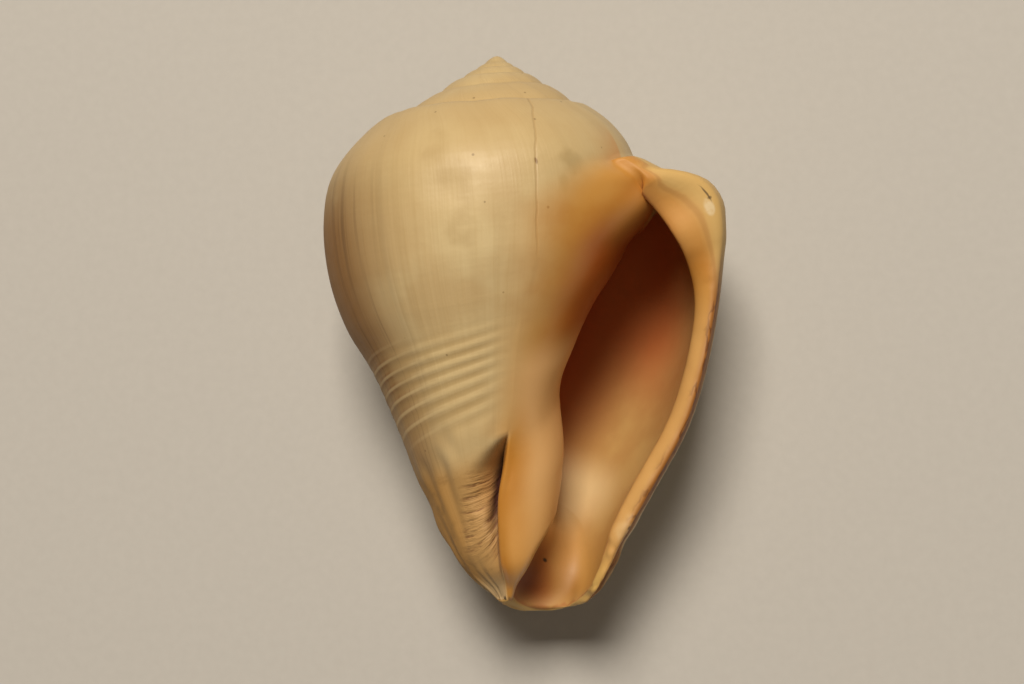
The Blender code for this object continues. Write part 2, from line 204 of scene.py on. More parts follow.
def line(x, table):
    """Smooth curve through a table of (places, values), held past its ends."""
    x = np.asarray(x, float)
    knots = np.asarray(table[0], float)
    values = np.asarray(table[1], float)
    inside = np.clip(x, knots[0], knots[-1])
    return curve(inside.ravel(), knots, values[None, :, None])[:, 0].reshape(x.shape)


# %% [markdown]
# ## The whorl at any age
#
# Growth by a ratio is a straight line in logarithms, so the tables are blended as logarithms and
# older whorls simply continue the line. The radius at the suture isn't in the table: each whorl
# must start exactly on the surface of the one before it, and that radius is searched for.
#
# The lip is the right-hand outline once more, a little wider, shorter, and lower at its top.

# %% Outline at any turn and station
AGES = (-0.1, 0.0, 0.5, 0.75, 1.0, 2.0)  # turns of the lip, right, left, front, inner and older
LIP_FLARE = 0.02
LIP_SAG = (0.08, -0.012, 0.015, 0.035, 0.03, 0.02, 0.01)
LIP_SHORTER = 0.018


def age_table():
    """Logarithms of the outlines at all ages."""
    right = np.log(RIGHT)
    inner = np.log(INNER)
    lip = right + np.array([LIP_FLARE, 0.0])
    lip[: len(LIP_SAG), 1] += np.array(LIP_SAG)
    lip[-1, 1] -= LIP_SHORTER
    older = inner - math.log(WHORL_RATIO)
    return np.stack([lip, right, np.log(LEFT), np.log(FRONT), inner, older])


AGE_TABLE = age_table()


def outline(turn, station):
    """(radius, drop) of the smooth whorl at each turn and station."""
    turn, station = np.broadcast_arrays(np.asarray(turn, float), np.asarray(station, float))
    shape = turn.shape
    turn = turn.ravel()
    count = AGE_TABLE.shape[1]
    held = np.clip(turn, AGES[0], AGES[-1])
    logs = curve(held, AGES, AGE_TABLE.reshape(1, len(AGES), -1)).reshape(-1, count, 2)
    older = np.maximum(turn - AGES[-1], 0.0) - np.maximum(AGES[0] - turn, 0.0) * 0.4
    logs = logs - (math.log(WHORL_RATIO) * older)[:, None, None]
    rh = curve(station.ravel(), STATIONS, np.exp(logs))
    rh[:, 1] += CANAL_REACH * bell((turn - 0.15) / 0.12) * smooth((station.ravel() - 0.88) / 0.12)
    return rh.reshape(shape + (2,))


# %% Sutures
def station_at(turn, drop):
    """Station at which the whorl of this turn passes the given drop, below its shelf."""
    low = np.full(np.shape(turn), 0.05)
    high = np.full(np.shape(turn), 0.5)
    for _ in range(30):
        mid = (low + high) / 2
        above = outline(turn, mid)[..., 1] < drop
        low = np.where(above, mid, low)
        high = np.where(above, high, mid)
    return (low + high) / 2


def suture(turn):
    """(radius, drop) of the line where a whorl meets the one before it."""
    return outline(turn, np.zeros_like(turn))


for k, age in enumerate(AGES[:-1]):
    met = station_at(np.array([age + 1.0]), math.exp(AGE_TABLE[k, 0, 1]))
    AGE_TABLE[k, 0, 0] = math.log(outline(np.array([age + 1.0]), met)[0, 0])
AGE_TABLE[-1, 0] = AGE_TABLE[-2, 0] - math.log(WHORL_RATIO)
print("suture radius at the lip, mm:", round(math.exp(AGE_TABLE[0, 0, 0]), 2))


# %% Skin of the shell in space
def place(turn, rh):
    """Point in space, with the axis along Y and the mouth facing +Z."""
    angle = -2.0 * math.pi * np.asarray(turn)
    return np.stack([rh[..., 0] * np.cos(angle), -rh[..., 1], rh[..., 0] * np.sin(angle)], axis=-1)


def from_callus(turn, station, rh):
    """Distance along the spiral from the edge of the callus, in mm: above 0 on the open whorl."""
    return (line(station, CALLUS_LINE) - turn) * 2.0 * math.pi * rh[..., 0]


def callus_fill(turn, station):
    """Thickness of the callus that fills the top corner of the mouth."""
    band = smooth((station - FILL_FROM) / 0.05) * fall((station - 0.31) / 0.12)
    return CALLUS_FILL * smooth((turn - 0.82) / 0.12) * band


def skin(turn, station):
    """Points of the outside, with the callus, the chink and the worn tip of the canal."""
    rh = outline(turn, station).copy()
    rh[..., 0] += callus_fill(turn, station)
    away = from_callus(turn, station, rh)
    width = np.where(away >= 0.0, line(station, CHINK_WIDTH), CHINK_SIDE)
    rh[..., 0] -= CHINK_DEPTH * line(station, CHINK_LINE) * bell(away / width)
    rh[..., 0] -= TIP_WEAR * smooth((station - 0.952) / 0.035) * bell((turn - 0.8) / 0.17)
    return place(turn, rh)


# %% [markdown]
# ## Patches
#
# The surface is laid out in five patches that share their border points: the last whorl, the
# spire, the inner side with the callus and the columella, the inside of the outer wall, and the
# rounded rim of the lip. Each patch carries its own map of the surface in millimetres, measured
# back from the lip and down from the suture. Growth lines, cords and stains all use that map.

# %% Mesh counts, and a patch
COLUMNS = 240  # in one turn
TOP_ROWS = 16  # from one suture to the next
SIDE_ROWS = 136  # and on to the canal
RIM_ROWS = 12
FLOOR_ROWS = 44
DEPTH_ROWS = 76
WHORL_MM = 120.0  # one turn on the surface map
SIDE_MM = 52.0  # suture to canal on the surface map


class Patch:
    """A grid of points with its surface map and the fields that the finish reads."""

    def __init__(self, points, back, down):
        shape = points.shape[:2]
        self.points = points
        self.back = np.broadcast_to(back, shape) * WHORL_MM
        self.down = np.broadcast_to(down, shape) * SIDE_MM
        self.fields = {}

    def set(self, **fields):
        """Stores fields by name, spread over the whole grid."""
        for name, value in fields.items():
            self.fields[name] = np.broadcast_to(value, self.points.shape[:2])


# %% Last whorl and spire
def stations():
    """Rows of the mesh, with one at the next suture."""
    junction = station_at(np.array([LIP_TURN + 1.0]), math.exp(AGE_TABLE[0, 0, 1]))[0]
    top = np.linspace(0.0, junction, TOP_ROWS + 1)
    side = np.linspace(junction, 1.0, SIDE_ROWS + 1)
    return np.concatenate([top, side[1:]])


def drawn_to(points, column, target, fade):
    """Moves one column of points onto the target, and the others less and less."""
    return points + (target - points[:, column])[:, None] * fade[None, :, None]


rows = stations()
lip_line = line(rows, LIP_LINE)
callus_line = line(rows, CALLUS_LINE)

spire_turn = (LIP_TURN + 1.0 + np.arange(int(round(COLUMNS * SPIRE_TURNS)) + 1) / COLUMNS)[:, None]
next_suture = suture(spire_turn[:, 0] - 1.0)
share = rows[: TOP_ROWS + 1] / rows[TOP_ROWS]
spire_station = station_at(spire_turn[:, 0], next_suture[:, 1])[:, None] * share[None, :]
spire_rh = outline(np.broadcast_to(spire_turn, spire_station.shape), spire_station)
spire_rh = drawn_to(spire_rh, -1, next_suture, share ** 4)
spire = Patch(place(spire_turn, spire_rh), spire_turn - line(spire_station, LIP_LINE), spire_station)

along = (np.arange(COLUMNS + 1) / COLUMNS)[:, None]
whorl_turn = blend(lip_line[None, :], callus_line[None, :], along)
whorl_station = np.broadcast_to(rows, whorl_turn.shape)
whorl_points = skin(whorl_turn, whorl_station)
whorl_points[:, 0] = spire.points[: COLUMNS + 1, -1]
whorl_points[-1, : TOP_ROWS + 1] = spire.points[0]
whorl = Patch(whorl_points, whorl_turn - lip_line[None, :], rows[None, :])
print("last whorl:", whorl.points.shape[:2], "spire:", spire.points.shape[:2])


# %% [markdown]
# The inner side continues the last whorl under the next turn of growth. Near the top it drops
# away as a smooth funnel, and the crease where it meets the outer wall runs down into the dark.

# %% Callus, columella and parietal wall
reach = np.concatenate([np.arange(RIM_ROWS + 1) / RIM_ROWS, np.ones(DEPTH_ROWS)])
cavity = CAVITY_TURNS * (np.arange(DEPTH_ROWS + 1) / DEPTH_ROWS) ** 1.25
inner_deep = np.concatenate([np.zeros(RIM_ROWS), cavity])
side = rows[TOP_ROWS:]
side_share = (side - side[0]) / (side[-1] - side[0])
step = blend(CREASE_STEP, 0.02, smooth((side - side[0]) / 0.12))
lean = 0.012 * line(side, CHINK_LINE)[None, :] * np.sin(math.pi * reach)[:, None]
near = line(side, CALLUS_LINE)[None, :] + step[None, :] * reach[:, None] - lean
near = near + inner_deep[:, None]
far = (LIP_TURN + 1.0 + CREASE_STEP * reach + inner_deep)[:, None]
inner_turn = blend(near, far, smooth(inner_deep / 0.3)[:, None])
crease_turn = inner_turn[:, 0]
funnel = FUNNEL_DROP * smooth(inner_deep / 0.09) * blend(1.0, 0.4, smooth((inner_deep - 0.13) / 0.4))
crease_drop = suture(crease_turn - 1.0)[:, 1]
crease_drop = crease_drop + (CREASE_DROP * reach + funnel) * WHORL_RATIO ** -inner_deep
top = station_at(crease_turn, crease_drop)
bottom = 1.0 - 0.08 * (1.0 - np.exp(-inner_deep / 0.05))
inner_station = blend(top[:, None], bottom[:, None], side_share[None, :])
inner_points = skin(inner_turn, inner_station)
inner_points[0] = whorl.points[-1, TOP_ROWS:]
inner = Patch(inner_points, inner_turn - line(inner_station, LIP_LINE), inner_station)
print("inner side:", inner.points.shape[:2])


# %% Canal edge and the inside of a wall
def canal_end(end, t):
    """Points of the canal end of the whorl that face the canal floor at shares t across it."""
    along = (0.3 * t + 0.7 * t ** 5) * COLUMNS
    low = np.clip(np.floor(along).astype(int), 0, COLUMNS - 1)
    return blend(end[low], end[low + 1], (along - low)[:, None])


def inner_wall(turn, station, wall):
    """Outline moved inward by the wall thickness."""
    here = outline(turn, station)
    below = outline(turn, np.minimum(station + 0.004, 1.0))
    above = outline(turn, np.maximum(station - 0.004, 0.0))
    ahead = unit(below - above)
    return here - wall[..., None] * np.stack([ahead[..., 1], -ahead[..., 0]], axis=-1)


# %% [markdown]
# The outer wall is the whorl moved inward by its thickness, which is 2.2 mm at the lip and thins
# toward the canal. Its top is a thick bevel. Below, it turns over into the floor of the canal
# and runs up to the columella, so the inside is one closed tunnel that shrinks as it winds in.

# %% Outer wall
wall_deep = cavity[:, None]
crease = inner.points[RIM_ROWS:, 0]
shrink = WHORL_RATIO ** -wall_deep
near = lip_line + 0.008 - 0.022 * fall((rows - 0.18) / 0.14)
near = near + (LIP_TURN + CREASE_STEP - near[0]) * fall(rows / 0.12)
wall_turn = blend(near[None, :] + wall_deep, LIP_TURN + CREASE_STEP + wall_deep, smooth(wall_deep / 0.3))
low = 1.0 - 0.24 * (1.0 - np.exp(-wall_deep / 0.08))
wall_station = rows[None, :] * blend(1.0, low, rows[None, :])
thin = blend(1.0, blend(LIP_THIN, 0.85, smooth(wall_deep / 0.08)), smooth((wall_station - 0.7) / 0.25))
thickness = blend(LIP_WALL, DEEP_WALL, smooth(wall_deep / 0.4)) * shrink * thin
wall_rh = inner_wall(wall_turn, wall_station, thickness)
bevel = np.stack([-line(wall_station, BEVEL_IN), line(wall_station, BEVEL_DOWN)], axis=-1)
bevel = bevel * shrink[..., None]
thick = fall((wall_station - 0.25) / 0.25) * (1.0 - 0.6 * smooth(wall_deep / 0.35))
wall_rh = blend(wall_rh, outline(wall_turn, wall_station) + bevel, thick[..., None])
wall_points = place(wall_turn, wall_rh)
wall_points = drawn_to(wall_points, 0, crease, fall(rows / 0.17))
wall_points[:, 0] = crease
print("outer wall:", wall_points.shape[:2])

# %% Canal floor
edge = wall_points[:, -1]
hinge = inner.points[RIM_ROWS:, -1]
down = unit(edge - wall_points[:, -2])
away = unit(hinge * np.array([1.0, 0.0, 1.0]))
over = unit(hinge - np.roll(hinge, -1, axis=0))
over[-1] = over[-2]
rise = unit(inner.points[RIM_ROWS:, -2] - hinge)
arrive = unit(blend(unit(over * 0.5 + away), rise, smooth(wall_deep / 0.2)))
pull = (blend(14.0, 12.0, smooth(wall_deep / 0.2)) * shrink)[:, :, None]
floor_share = np.arange(1, FLOOR_ROWS + 1) / FLOOR_ROWS
t = floor_share[None, :, None]
canal_floor = cubic(edge[:, None], hinge[:, None], pull * down[:, None], pull * arrive[:, None], t)
lip_end = canal_end(whorl.points[:, -1], floor_share)
inward = np.stack(
    [CANAL_AXIS[0] - lip_end[:, 0], np.zeros(FLOOR_ROWS), CANAL_AXIS[1] - lip_end[:, 2]], axis=-1
)
goal = lip_end + CANAL_WALL * unit(unit(inward) + np.array([0.0, 0.15, 0.0]))
hold = smooth(floor_share / 0.3) * fall((floor_share - 0.45) / 0.55)
fade = fall(wall_deep / 0.06)[:, :, None]
canal_floor = canal_floor + fade * ((goal - canal_floor[0]) * hold[:, None])[None]
canal_floor[:, -1] = hinge
floor_down = 1.0 + 0.25 * floor_share
wall = Patch(
    np.concatenate([wall_points, canal_floor], axis=1),
    -0.02 - wall_deep,
    np.concatenate([rows, floor_down])[None, :],
)
print("outer wall and canal floor:", wall.points.shape[:2])

# %% Rounded rim of the lip
LIP_BULGE_MM = 3.4
lip_count = len(rows)
start = np.concatenate([whorl.points[0], lip_end])
finish = wall.points[0]
turned = np.concatenate([np.linspace(-3.0, 0.5, lip_count), np.linspace(0.55, 3.0, FLOOR_ROWS)])
turned = smooth(turned)[:, None]
growth = unit(whorl.points[0] - whorl.points[1])
along_lip = np.arange(len(start))[:, None]
growth = np.concatenate([growth, np.repeat(growth[-1:], FLOOR_ROWS, axis=0)])
push = unit(blend(growth, np.array([[0.0, -1.0, 0.0]]), turned))
bulge = np.minimum(np.linalg.norm(finish - start, axis=1, keepdims=True), LIP_BULGE_MM)
bulge = bulge * blend(1.3, 0.55, turned) * blend(0.45, 1.0, smooth(along_lip / 18.0))
rim_share = (np.arange(RIM_ROWS + 1) / RIM_ROWS)[:, None]
rim_points = cubic(start, finish, push * bulge, -push * bulge, rim_share[..., None])

rim_top = inner.points[: RIM_ROWS + 1, 0]
rim_bottom = inner.points[: RIM_ROWS + 1, -1]
column = np.arange(len(start))
rim_points = drawn_to(rim_points, 0, rim_top, fall(column / (TOP_ROWS * 0.8)))
fade = smooth((column - len(start) + 1) / (FLOOR_ROWS * 0.3) + 1.0)
rim_points = drawn_to(rim_points, -1, rim_bottom, fade)
rim_points[-1] = finish
rim_points[0, :lip_count] = whorl.points[0]
rim_points[:, 0] = rim_top
rim_points[:, -1] = rim_bottom
rim = Patch(rim_points, -0.02 * rim_share, wall.down[:1] / SIDE_MM)
print("rim:", rim.points.shape[:2])


# %% [markdown]
# ## Where each finish lies
#
# The finish changes over the shell: chalky cream outside, orange glaze round the mouth, a rosy
# chamber, a chink dark with a stain and with painted shade, and a wrinkled band beside it. On the
# real shell these follow the growth, so each is a field over the same turns and stations. The fields
# go into the mesh as named attributes. Painting them by hand would work too, but would have to be
# redone whenever the shape changes.

# %% Soft noise and round spots for the shape
NOISE_PERIOD = 97
SHOULDER_TURN_MM = 105.0


def ripple(x, y, seed):
    """Smooth noise from -1 to 1 with one bump per unit of x and of y."""
    table = np.random.default_rng(seed).uniform(-1.0, 1.0, (NOISE_PERIOD, NOISE_PERIOD))
    i = np.floor(x).astype(int)
    j = np.floor(y).astype(int)
    a = smooth(x - i)
    b = smooth(y - j)
    i0, i1 = i % NOISE_PERIOD, (i + 1) % NOISE_PERIOD
    j0, j1 = j % NOISE_PERIOD, (j + 1) % NOISE_PERIOD
    return blend(blend(table[i0, j0], table[i1, j0], a), blend(table[i0, j1], table[i1, j1], a), b)


def spot(turn, station, at, size):
    """Round patch of the given size in mm, at (turn, station) on the last whorl."""
    return bell(np.hypot((turn - at[0]) * SHOULDER_TURN_MM, (station - at[1]) * SIDE_MM) / size)


# %% Places of the marks, and the fields before they are set
SCAR_TURN = ((0.0, 0.044, 0.235, 0.423, 0.55), (0.80, 0.7988, 0.7872, 0.7903, 0.797))
GROOVE = (
    (0.0, 0.04, 0.07, 0.10, 0.15, 0.19, 0.24, 0.30, 0.42, 1.0),
    (-0.6, -0.3, 0.5, 1.2, 1.15, 1.0, 0.9, 0.6, 0.0, -0.3),
)
CORD_GAP = 0.0278
RIM_MM = 2.4
FAR = 50.0

# glaze, hollow and depth bring in the glaze, the chamber and its dark, which is painted shade. dusk is
# painted shade that browns them toward the dark, and rosy and canal tint them. lip_side and lip_top are
# the two sides of the lip, shade is painted shade with brown streaks on the left of the whorl. cords,
# strokes, chink, pause and tip say how strong a mark is, and cord and fold count its lines; the chink's
# mark is a dark stain with painted shade. past, groove, margin and scar are distances in mm from the
# callus, the rim and the growth line.
BLANK = {
    "glaze": 0.0, "hollow": 0.0, "depth": 0.0, "dusk": 0.0, "rosy": 0.0, "canal": 0.0, "tip": 0.0,
    "lip_side": 0.0, "lip_top": 0.0, "shade": 0.0, "cords": 0.0, "cord": 0.0, "fasciole": 0.0,
    "fold": 0.0, "strokes": 0.0, "chink": 0.0, "pause": 0.0, "scar": FAR, "past": -FAR,
    "groove": FAR, "margin": FAR,
}
patches = {"whorl": whorl, "spire": spire, "inner": inner, "wall": wall, "rim": rim}
for patch in patches.values():
    patch.set(**BLANK)
print("fields:", len(BLANK), "on", len(patches), "patches")


# %% Fields round the edge of the callus
def callus_fields(patch, turn, station):
    """Fields that the outside and the callus share, since the edge of the callus runs over both."""
    turn, station = np.broadcast_arrays(turn, station)
    rh = outline(turn, station)
    past = -from_callus(turn, station, rh)
    upper = fall((station - 0.50) / 0.18)
    lower = smooth((station - 0.77) / 0.04)
    orange_side = 2.5 * smooth((station - 0.72) / 0.13)
    wobble = 0.7 * ripple(station * 9.0, turn * 3.0, 11) * (1.0 - lower)
    soft = blend(blend(6.0, 9.5, upper), 0.25, lower)
    lead = blend(blend(3.4, 5.4, upper), 0.05, lower)
    in_gutter = fall((rh[..., 1] - 17.0) / 5.0)
    upper_side = fall((station - 0.58) / 0.12)
    patch.set(
        glaze=smooth((past + lead + wobble) / soft) * smooth((station - 0.13) / 0.07),
        past=past,
        # dusk is painted shade toward the dark, kept weak in the gutter of the top corner
        dusk=smooth((past - 1.8) / 7.0) * upper_side * (1.0 - 0.85 * in_gutter),
        rosy=smooth((station - 0.59) / 0.10) * smooth((past + 1.5 - orange_side) / 3.5),
        hollow=smooth((past - 9.0) / 9.0),
        # depth is painted shade, red brown deeper in
        depth=smooth((past - 5.0) / 6.0),
    )
    return rh, past


# %% Fields of the outside
rh, past = callus_fields(whorl, whorl_turn, whorl_station)
below = -whorl.points[..., 1]
low_side = smooth((whorl_station - 0.53) / 0.07) * fall((whorl_station - 0.71) / 0.06)
low_side = low_side * fall((past + 4.5) / 4.2)
near_mouth = smooth((whorl_turn - 0.40) / 0.2)
fasciole = smooth((whorl_station - 0.785) / 0.05) * fall((past + 0.1) / 0.3)
# chink is the dark stain and the painted shade of the hole beside the columella, with a dark line on its
# seam
chink = line(whorl_station - 0.016, CHINK_LINE) * bell((past + 0.3) / 1.5)
seam = bell((past + 0.12) / 0.22) * smooth((whorl_station - 0.82) / 0.05)
seam = seam * fall((whorl_station - 0.955) / 0.03)
folded = smooth((below - 44.0) / 2.0) * fall((below - 51.5) / 4.0) * fasciole
# shade is painted shade on the left of the whorl, fainter on its back, and it also places the brown
# streaks there
shade = fall((whorl_turn - 0.555) / 0.11) * smooth((whorl_station - 0.13) / 0.2)
shade = shade * (1.0 - 0.2 * smooth((whorl_station - 0.62) / 0.1))
shade = shade * blend(0.2, 1.0, smooth((whorl_turn - 0.36) / 0.12))
whorl.set(
    hollow=0.0,
    depth=0.0,
    shade=shade,
    lip_side=smooth((whorl_station - 0.25) / 0.12) * fall((whorl.back - 0.6) / 3.2),
    tip=smooth((whorl_station - 0.955) / 0.03),
    lip_top=fall((whorl_station - 0.25) / 0.12) * fall((whorl.back - 1.0) / 4.0),
    scar=(whorl_turn - line(whorl_station, SCAR_TURN)) * 2.0 * math.pi * rh[..., 0],
    pause=fall((whorl_station - 0.36) / 0.1),
    cord=(whorl_station + 0.17 * (whorl_turn - 0.73)) / CORD_GAP,
    cords=low_side * blend(0.25, 1.0, near_mouth),
    fasciole=fasciole,
    fold=(below + 3.2 * np.exp(past / 1.5)) / 0.72,
    strokes=folded * smooth((past + 5.2) / 2.2),
    chink=np.maximum(chink, 0.55 * seam),
    groove=-whorl.back - line(whorl_station, GROOVE),
    margin=-whorl.back - RIM_MM * 0.9,
)
print("share of the last whorl under cords:", round(float(np.mean(whorl.fields["cords"] > 0.5)), 3))

# %% Fields of the inside
FLOOR_TURN_MM = 60.0
callus_fields(inner, inner_turn, inner_station)
lipward = wall_deep * 2.0 * math.pi * wall_rh[..., 0]
floor_lipward = np.repeat(wall_deep * FLOOR_TURN_MM, FLOOR_ROWS, axis=1)
lipward = RIM_MM + np.concatenate([lipward, floor_lipward], axis=1)
wall_down = wall.down / SIDE_MM
# canal_side is painted shade on the side of the canal by the columella
canal_side = smooth((wall_down - 1.10) / 0.06) * fall((wall_down - 1.18) / 0.03)
canal_side = canal_side * fall((lipward - 14.0) / 9.0)
# roof is painted shade under the roof of the chamber
roof = fall((wall_down - 0.06) / 0.18) * smooth((lipward - 5.0) / 5.0)
hollow_mm = blend(3.0, 9.0, smooth((wall_down - 0.70) / 0.2))
# painted shade high on the wall, under the bevel
upper_wall = 0.85 * fall((wall_down - 0.45) / 0.30) * smooth((lipward - 5.0) / 15.0)
wall.set(
    glaze=1.0,
    hollow=smooth((lipward - RIM_MM - 0.2) / hollow_mm) * (1.0 - roof),
    depth=np.maximum(smooth((lipward - 17.0) / 15.0), upper_wall),
    dusk=np.maximum(0.9 * canal_side, roof),
    canal=smooth((wall_down - 0.80) / 0.12),
    groove=lipward - line(np.minimum(wall_down, 1.0), GROOVE),
    margin=lipward - RIM_MM * 0.9,
)
print("the wall runs", round(float(lipward.max()), 1), "mm in from the lip")

# %% Fields of the rim
rim_down = np.minimum(rim.down / SIDE_MM, 1.0)
rim_mm = rim_share * RIM_MM
lip_fade = 1.0 - 0.7 * smooth((rim_down - 0.70) / 0.12)
rim.set(
    glaze=smooth((rim_mm - line(rim_down, GROOVE) + 0.35) / 0.7),
    lip_side=smooth((rim_down - 0.25) / 0.12) * fall((rim_mm - 0.25) / 0.9) * lip_fade,
    lip_top=fall((rim_down - 0.25) / 0.12),
    canal=smooth((rim_down - 0.80) / 0.12),
    groove=rim_mm - line(rim_down, GROOVE),
    margin=rim_mm - RIM_MM * 0.9,
)
print("the rim is", RIM_MM, "mm wide on the map")

# %% [markdown]
# ## Relief
#
# The real surface isn't as smooth as the sweep: growth slowed and quickened, cords run round the
# lower whorl, and the lip is chipped. What is wider than about a millimetre is moved in the mesh,
# so that it also shows in the outline. The lower end of the columella is filled out a little too.
# Finer lines are left to the bump of the finish.

# %% Relief of the outside in mm, out of the surface
DENT = (0.7041, 0.2701)


def growth_folds(patch):
    """Long low folds along the old lips."""
    folds = 0.05 * ripple(patch.back / 2.6, patch.down / 60.0, 3)
    return folds + 0.06 * ripple(patch.back / 8.0, patch.down / 30.0, 4)


unglazed = 1.0 - whorl.fields["glaze"]
cord_wave = 0.5 + 0.5 * np.cos(2.0 * math.pi * whorl.fields["cord"])
wrinkle = ripple(whorl.fields["fold"] / 1.3, whorl.fields["past"] / 5.0, 5)
knob = ripple(whorl.back / 3.0, whorl.down / 2.2, 6) * smooth((whorl_station - 0.72) / 0.06)
whorl.lift = (
    growth_folds(whorl) * unglazed
    + 0.11 * whorl.fields["cords"] * cord_wave ** 2
    - 0.28 * spot(whorl_turn, whorl_station, DENT, 2.0)
    - 0.03 * bell(whorl.fields["scar"] / 0.6) * whorl.fields["pause"]
    + 0.13 * whorl.fields["strokes"] * wrinkle
    + 0.19 * knob * unglazed
)
spire.lift = growth_folds(spire) * (WHORL_RATIO ** -(spire_turn - 1.0))
print("relief of the whorl, mm:", round(float(np.ptp(whorl.lift)), 2))

# %% Relief of the mouth in mm
RIBBON_FILL = 1.2
inner.lift = 0.04 * ripple(inner.back / 6.0, inner.down / 8.0, 7)
chips = ripple(rim.down / 1.7, rim.back / 1.1, 8) + 0.6 * ripple(rim.down / 0.8, rim.back / 0.9, 9)
chipped = blend(0.05, 0.16, smooth((rim_down - 0.68) / 0.1))
groove_line = bell(rim.fields["groove"] / 0.25) * fall((rim_down - 0.28) / 0.15)
rim.lift = chipped * chips * np.sin(math.pi * rim_share) ** 0.5 - 0.08 * groove_line
step_down = 0.22 * smooth(wall.fields["margin"] / 0.7) * fall((wall_down - 0.72) / 0.12)
wall.lift = 0.05 * ripple(wall.back / 5.0, wall.down / 9.0, 10) - step_down

# The low end of the columella is filled out on all three patches that meet there.
fill = RIBBON_FILL * smooth((inner_deep + 0.04) / 0.08) * fall(inner_deep / 0.20)
inner.lift = inner.lift + (fill * reach)[:, None] * smooth((inner_station - 0.80) / 0.18)
wall.lift = wall.lift + fill[RIM_ROWS:, None] * smooth((wall_down - 1.15) / 0.10)
rim.lift = rim.lift + 0.5 * RIBBON_FILL * smooth((rim.down / SIDE_MM - 1.15) / 0.10) * rim_share
print("relief of the rim, mm:", round(float(np.ptp(rim.lift)), 2))


# %% [markdown]
# ## Welding
#
# Points of different patches that lie at the same place become one vertex, so the shell is one
# closed skin. The fields and the surface map are kept for each corner of each face, because two
# patches that meet at a suture give the same point different values.

# %% Weld the patches
class Weld:
    """One skin of faces, with the row of the map and of the fields that each corner takes."""

    def __init__(self):
        self.index = {}
        self.points = []
        self.faces = []
        self.rows = []
        self.lift = []

    def add(self, point, lift):
        """Number of the vertex at a point, which is made if it isn't there yet."""
        key = tuple(np.round(point, 6))
        if key not in self.index:
            self.index[key] = len(self.points)
            self.points.append(point)
            self.lift.append([])
        here = self.index[key]
        self.lift[here].append(lift)
        return here

    def face(self, corners):
        """A face without its doubled corners, unless too few are left."""
        kept = [c for i, c in enumerate(corners) if c[0] != corners[i - 1][0]]
        if len({c[0] for c in kept}) > 2:
            self.faces.append([c[0] for c in kept])
            self.rows.extend(c[1] for c in kept)

    def corners(self, points, lift, first):
        """Corners along one line of points."""
        return [(self.add(p, v), first + k) for k, (p, v) in enumerate(zip(points, lift))]

    def grid(self, points, lift, first_row, width, first_column=0):
        """Faces between all rows of a patch."""
        made = [
            self.corners(row, rise, (first_row + r) * width + first_column)
            for r, (row, rise) in enumerate(zip(points, lift))
        ]
        for a, b in zip(made, made[1:]):
            for i in range(len(a) - 1):
                self.face([a[i], a[i + 1], b[i + 1], b[i]])


# %% Put the five patches together
names = sorted(whorl.fields)
table = []
offset = {}
for name, patch in patches.items():
    offset[name] = sum(len(part) for part in table)
    layers = [patch.back, patch.down] + [patch.fields[key] for key in names]
    table.append(np.stack(layers, axis=-1).reshape(-1, len(layers)))
table = np.concatenate(table)

weld = Weld()
for name, patch in patches.items():
    if name == "rim":
        continue
    width = patch.points.shape[1]
    weld.grid(patch.points, patch.lift, 0, width, offset[name])
width = rim.points.shape[1]
weld.grid(rim.points[:, :lip_count], rim.lift[:, :lip_count], 0, width, offset["rim"])
last = lip_count - 1
weld.grid(rim.points[1:, last:], rim.lift[1:, last:], 1, width, offset["rim"] + last)
print("faces so far:", len(weld.faces))


# %% Close the canal end and the end of the cavity
def strip(patch, name, rows_columns):
    """Corners of a patch at the given rows and columns, with their points."""
    width = patch.points.shape[1]
    points = [patch.points[r, c] for r, c in rows_columns]
    corners = [
        (weld.add(patch.points[r, c], patch.lift[r, c]), offset[name] + r * width + c)
        for r, c in rows_columns
    ]
    return corners, points


def ladder(first, second):
    """Triangles between two strips that run side by side, by the shorter diagonal."""
    a, one = first
    b, two = second
    i = j = 0
    while i < len(a) - 1 or j < len(b) - 1:
        along_a = i < len(a) - 1
        if along_a and j < len(b) - 1:
            along_a = np.linalg.norm(one[i + 1] - two[j]) <= np.linalg.norm(one[i] - two[j + 1])
        if along_a:
            weld.face([a[i], a[i + 1], b[j]])
            i += 1
        else:
            weld.face([a[i], b[j + 1], b[j]])
            j += 1


whorl_end = strip(whorl, "whorl", [(r, last) for r in range(COLUMNS + 1)])
across = [(0, last)] + [(1, c) for c in range(last, rim.points.shape[1])]
rim_end = strip(rim, "rim", across)
ladder(whorl_end, rim_end)
wall_end = strip(wall, "wall", [(DEPTH_ROWS, c) for c in range(wall.points.shape[1])])
deepest = RIM_ROWS + DEPTH_ROWS
inner_end = strip(inner, "inner", [(deepest, c) for c in range(inner.points.shape[1])])
ladder(wall_end, inner_end)
print("faces with the ends closed:", len(weld.faces))

# %% Close the tip of the spire
count = len(spire.points)
loop = [(count - 1, c) for c in range(TOP_ROWS, -1, -1)]
loop = loop + [(r, 0) for r in range(count - 2, count - 2 - COLUMNS, -1)]
tip, tip_points = strip(spire, "spire", loop)
before = tip
for share in (0.75, 0.5, 0.25):
    ring_points = np.array(tip_points) * np.array([share, share ** 1.7, share])
    ring = [(weld.add(p, 0.0), corner[1]) for p, corner in zip(ring_points, tip)]
    for i in range(len(ring) - 1):
        weld.face([before[i], before[i + 1], ring[i + 1], ring[i]])
    before = ring
middle = weld.add(np.zeros(3), 0.0)
for i in range(len(before) - 1):
    weld.face([before[i], before[i + 1], (middle, before[i][1])])
print("vertices:", len(weld.points), "faces:", len(weld.faces))

# %% [markdown]
# ## The shell as it lies
#
# The shell rests on the back of its last whorl with the mouth up, a little leaned and rolled, on
# the same small worn flat as the solid. Its points are turned first, then raised or sunk by the
# relief along the vertex normals, and last held inside the box of the solid.

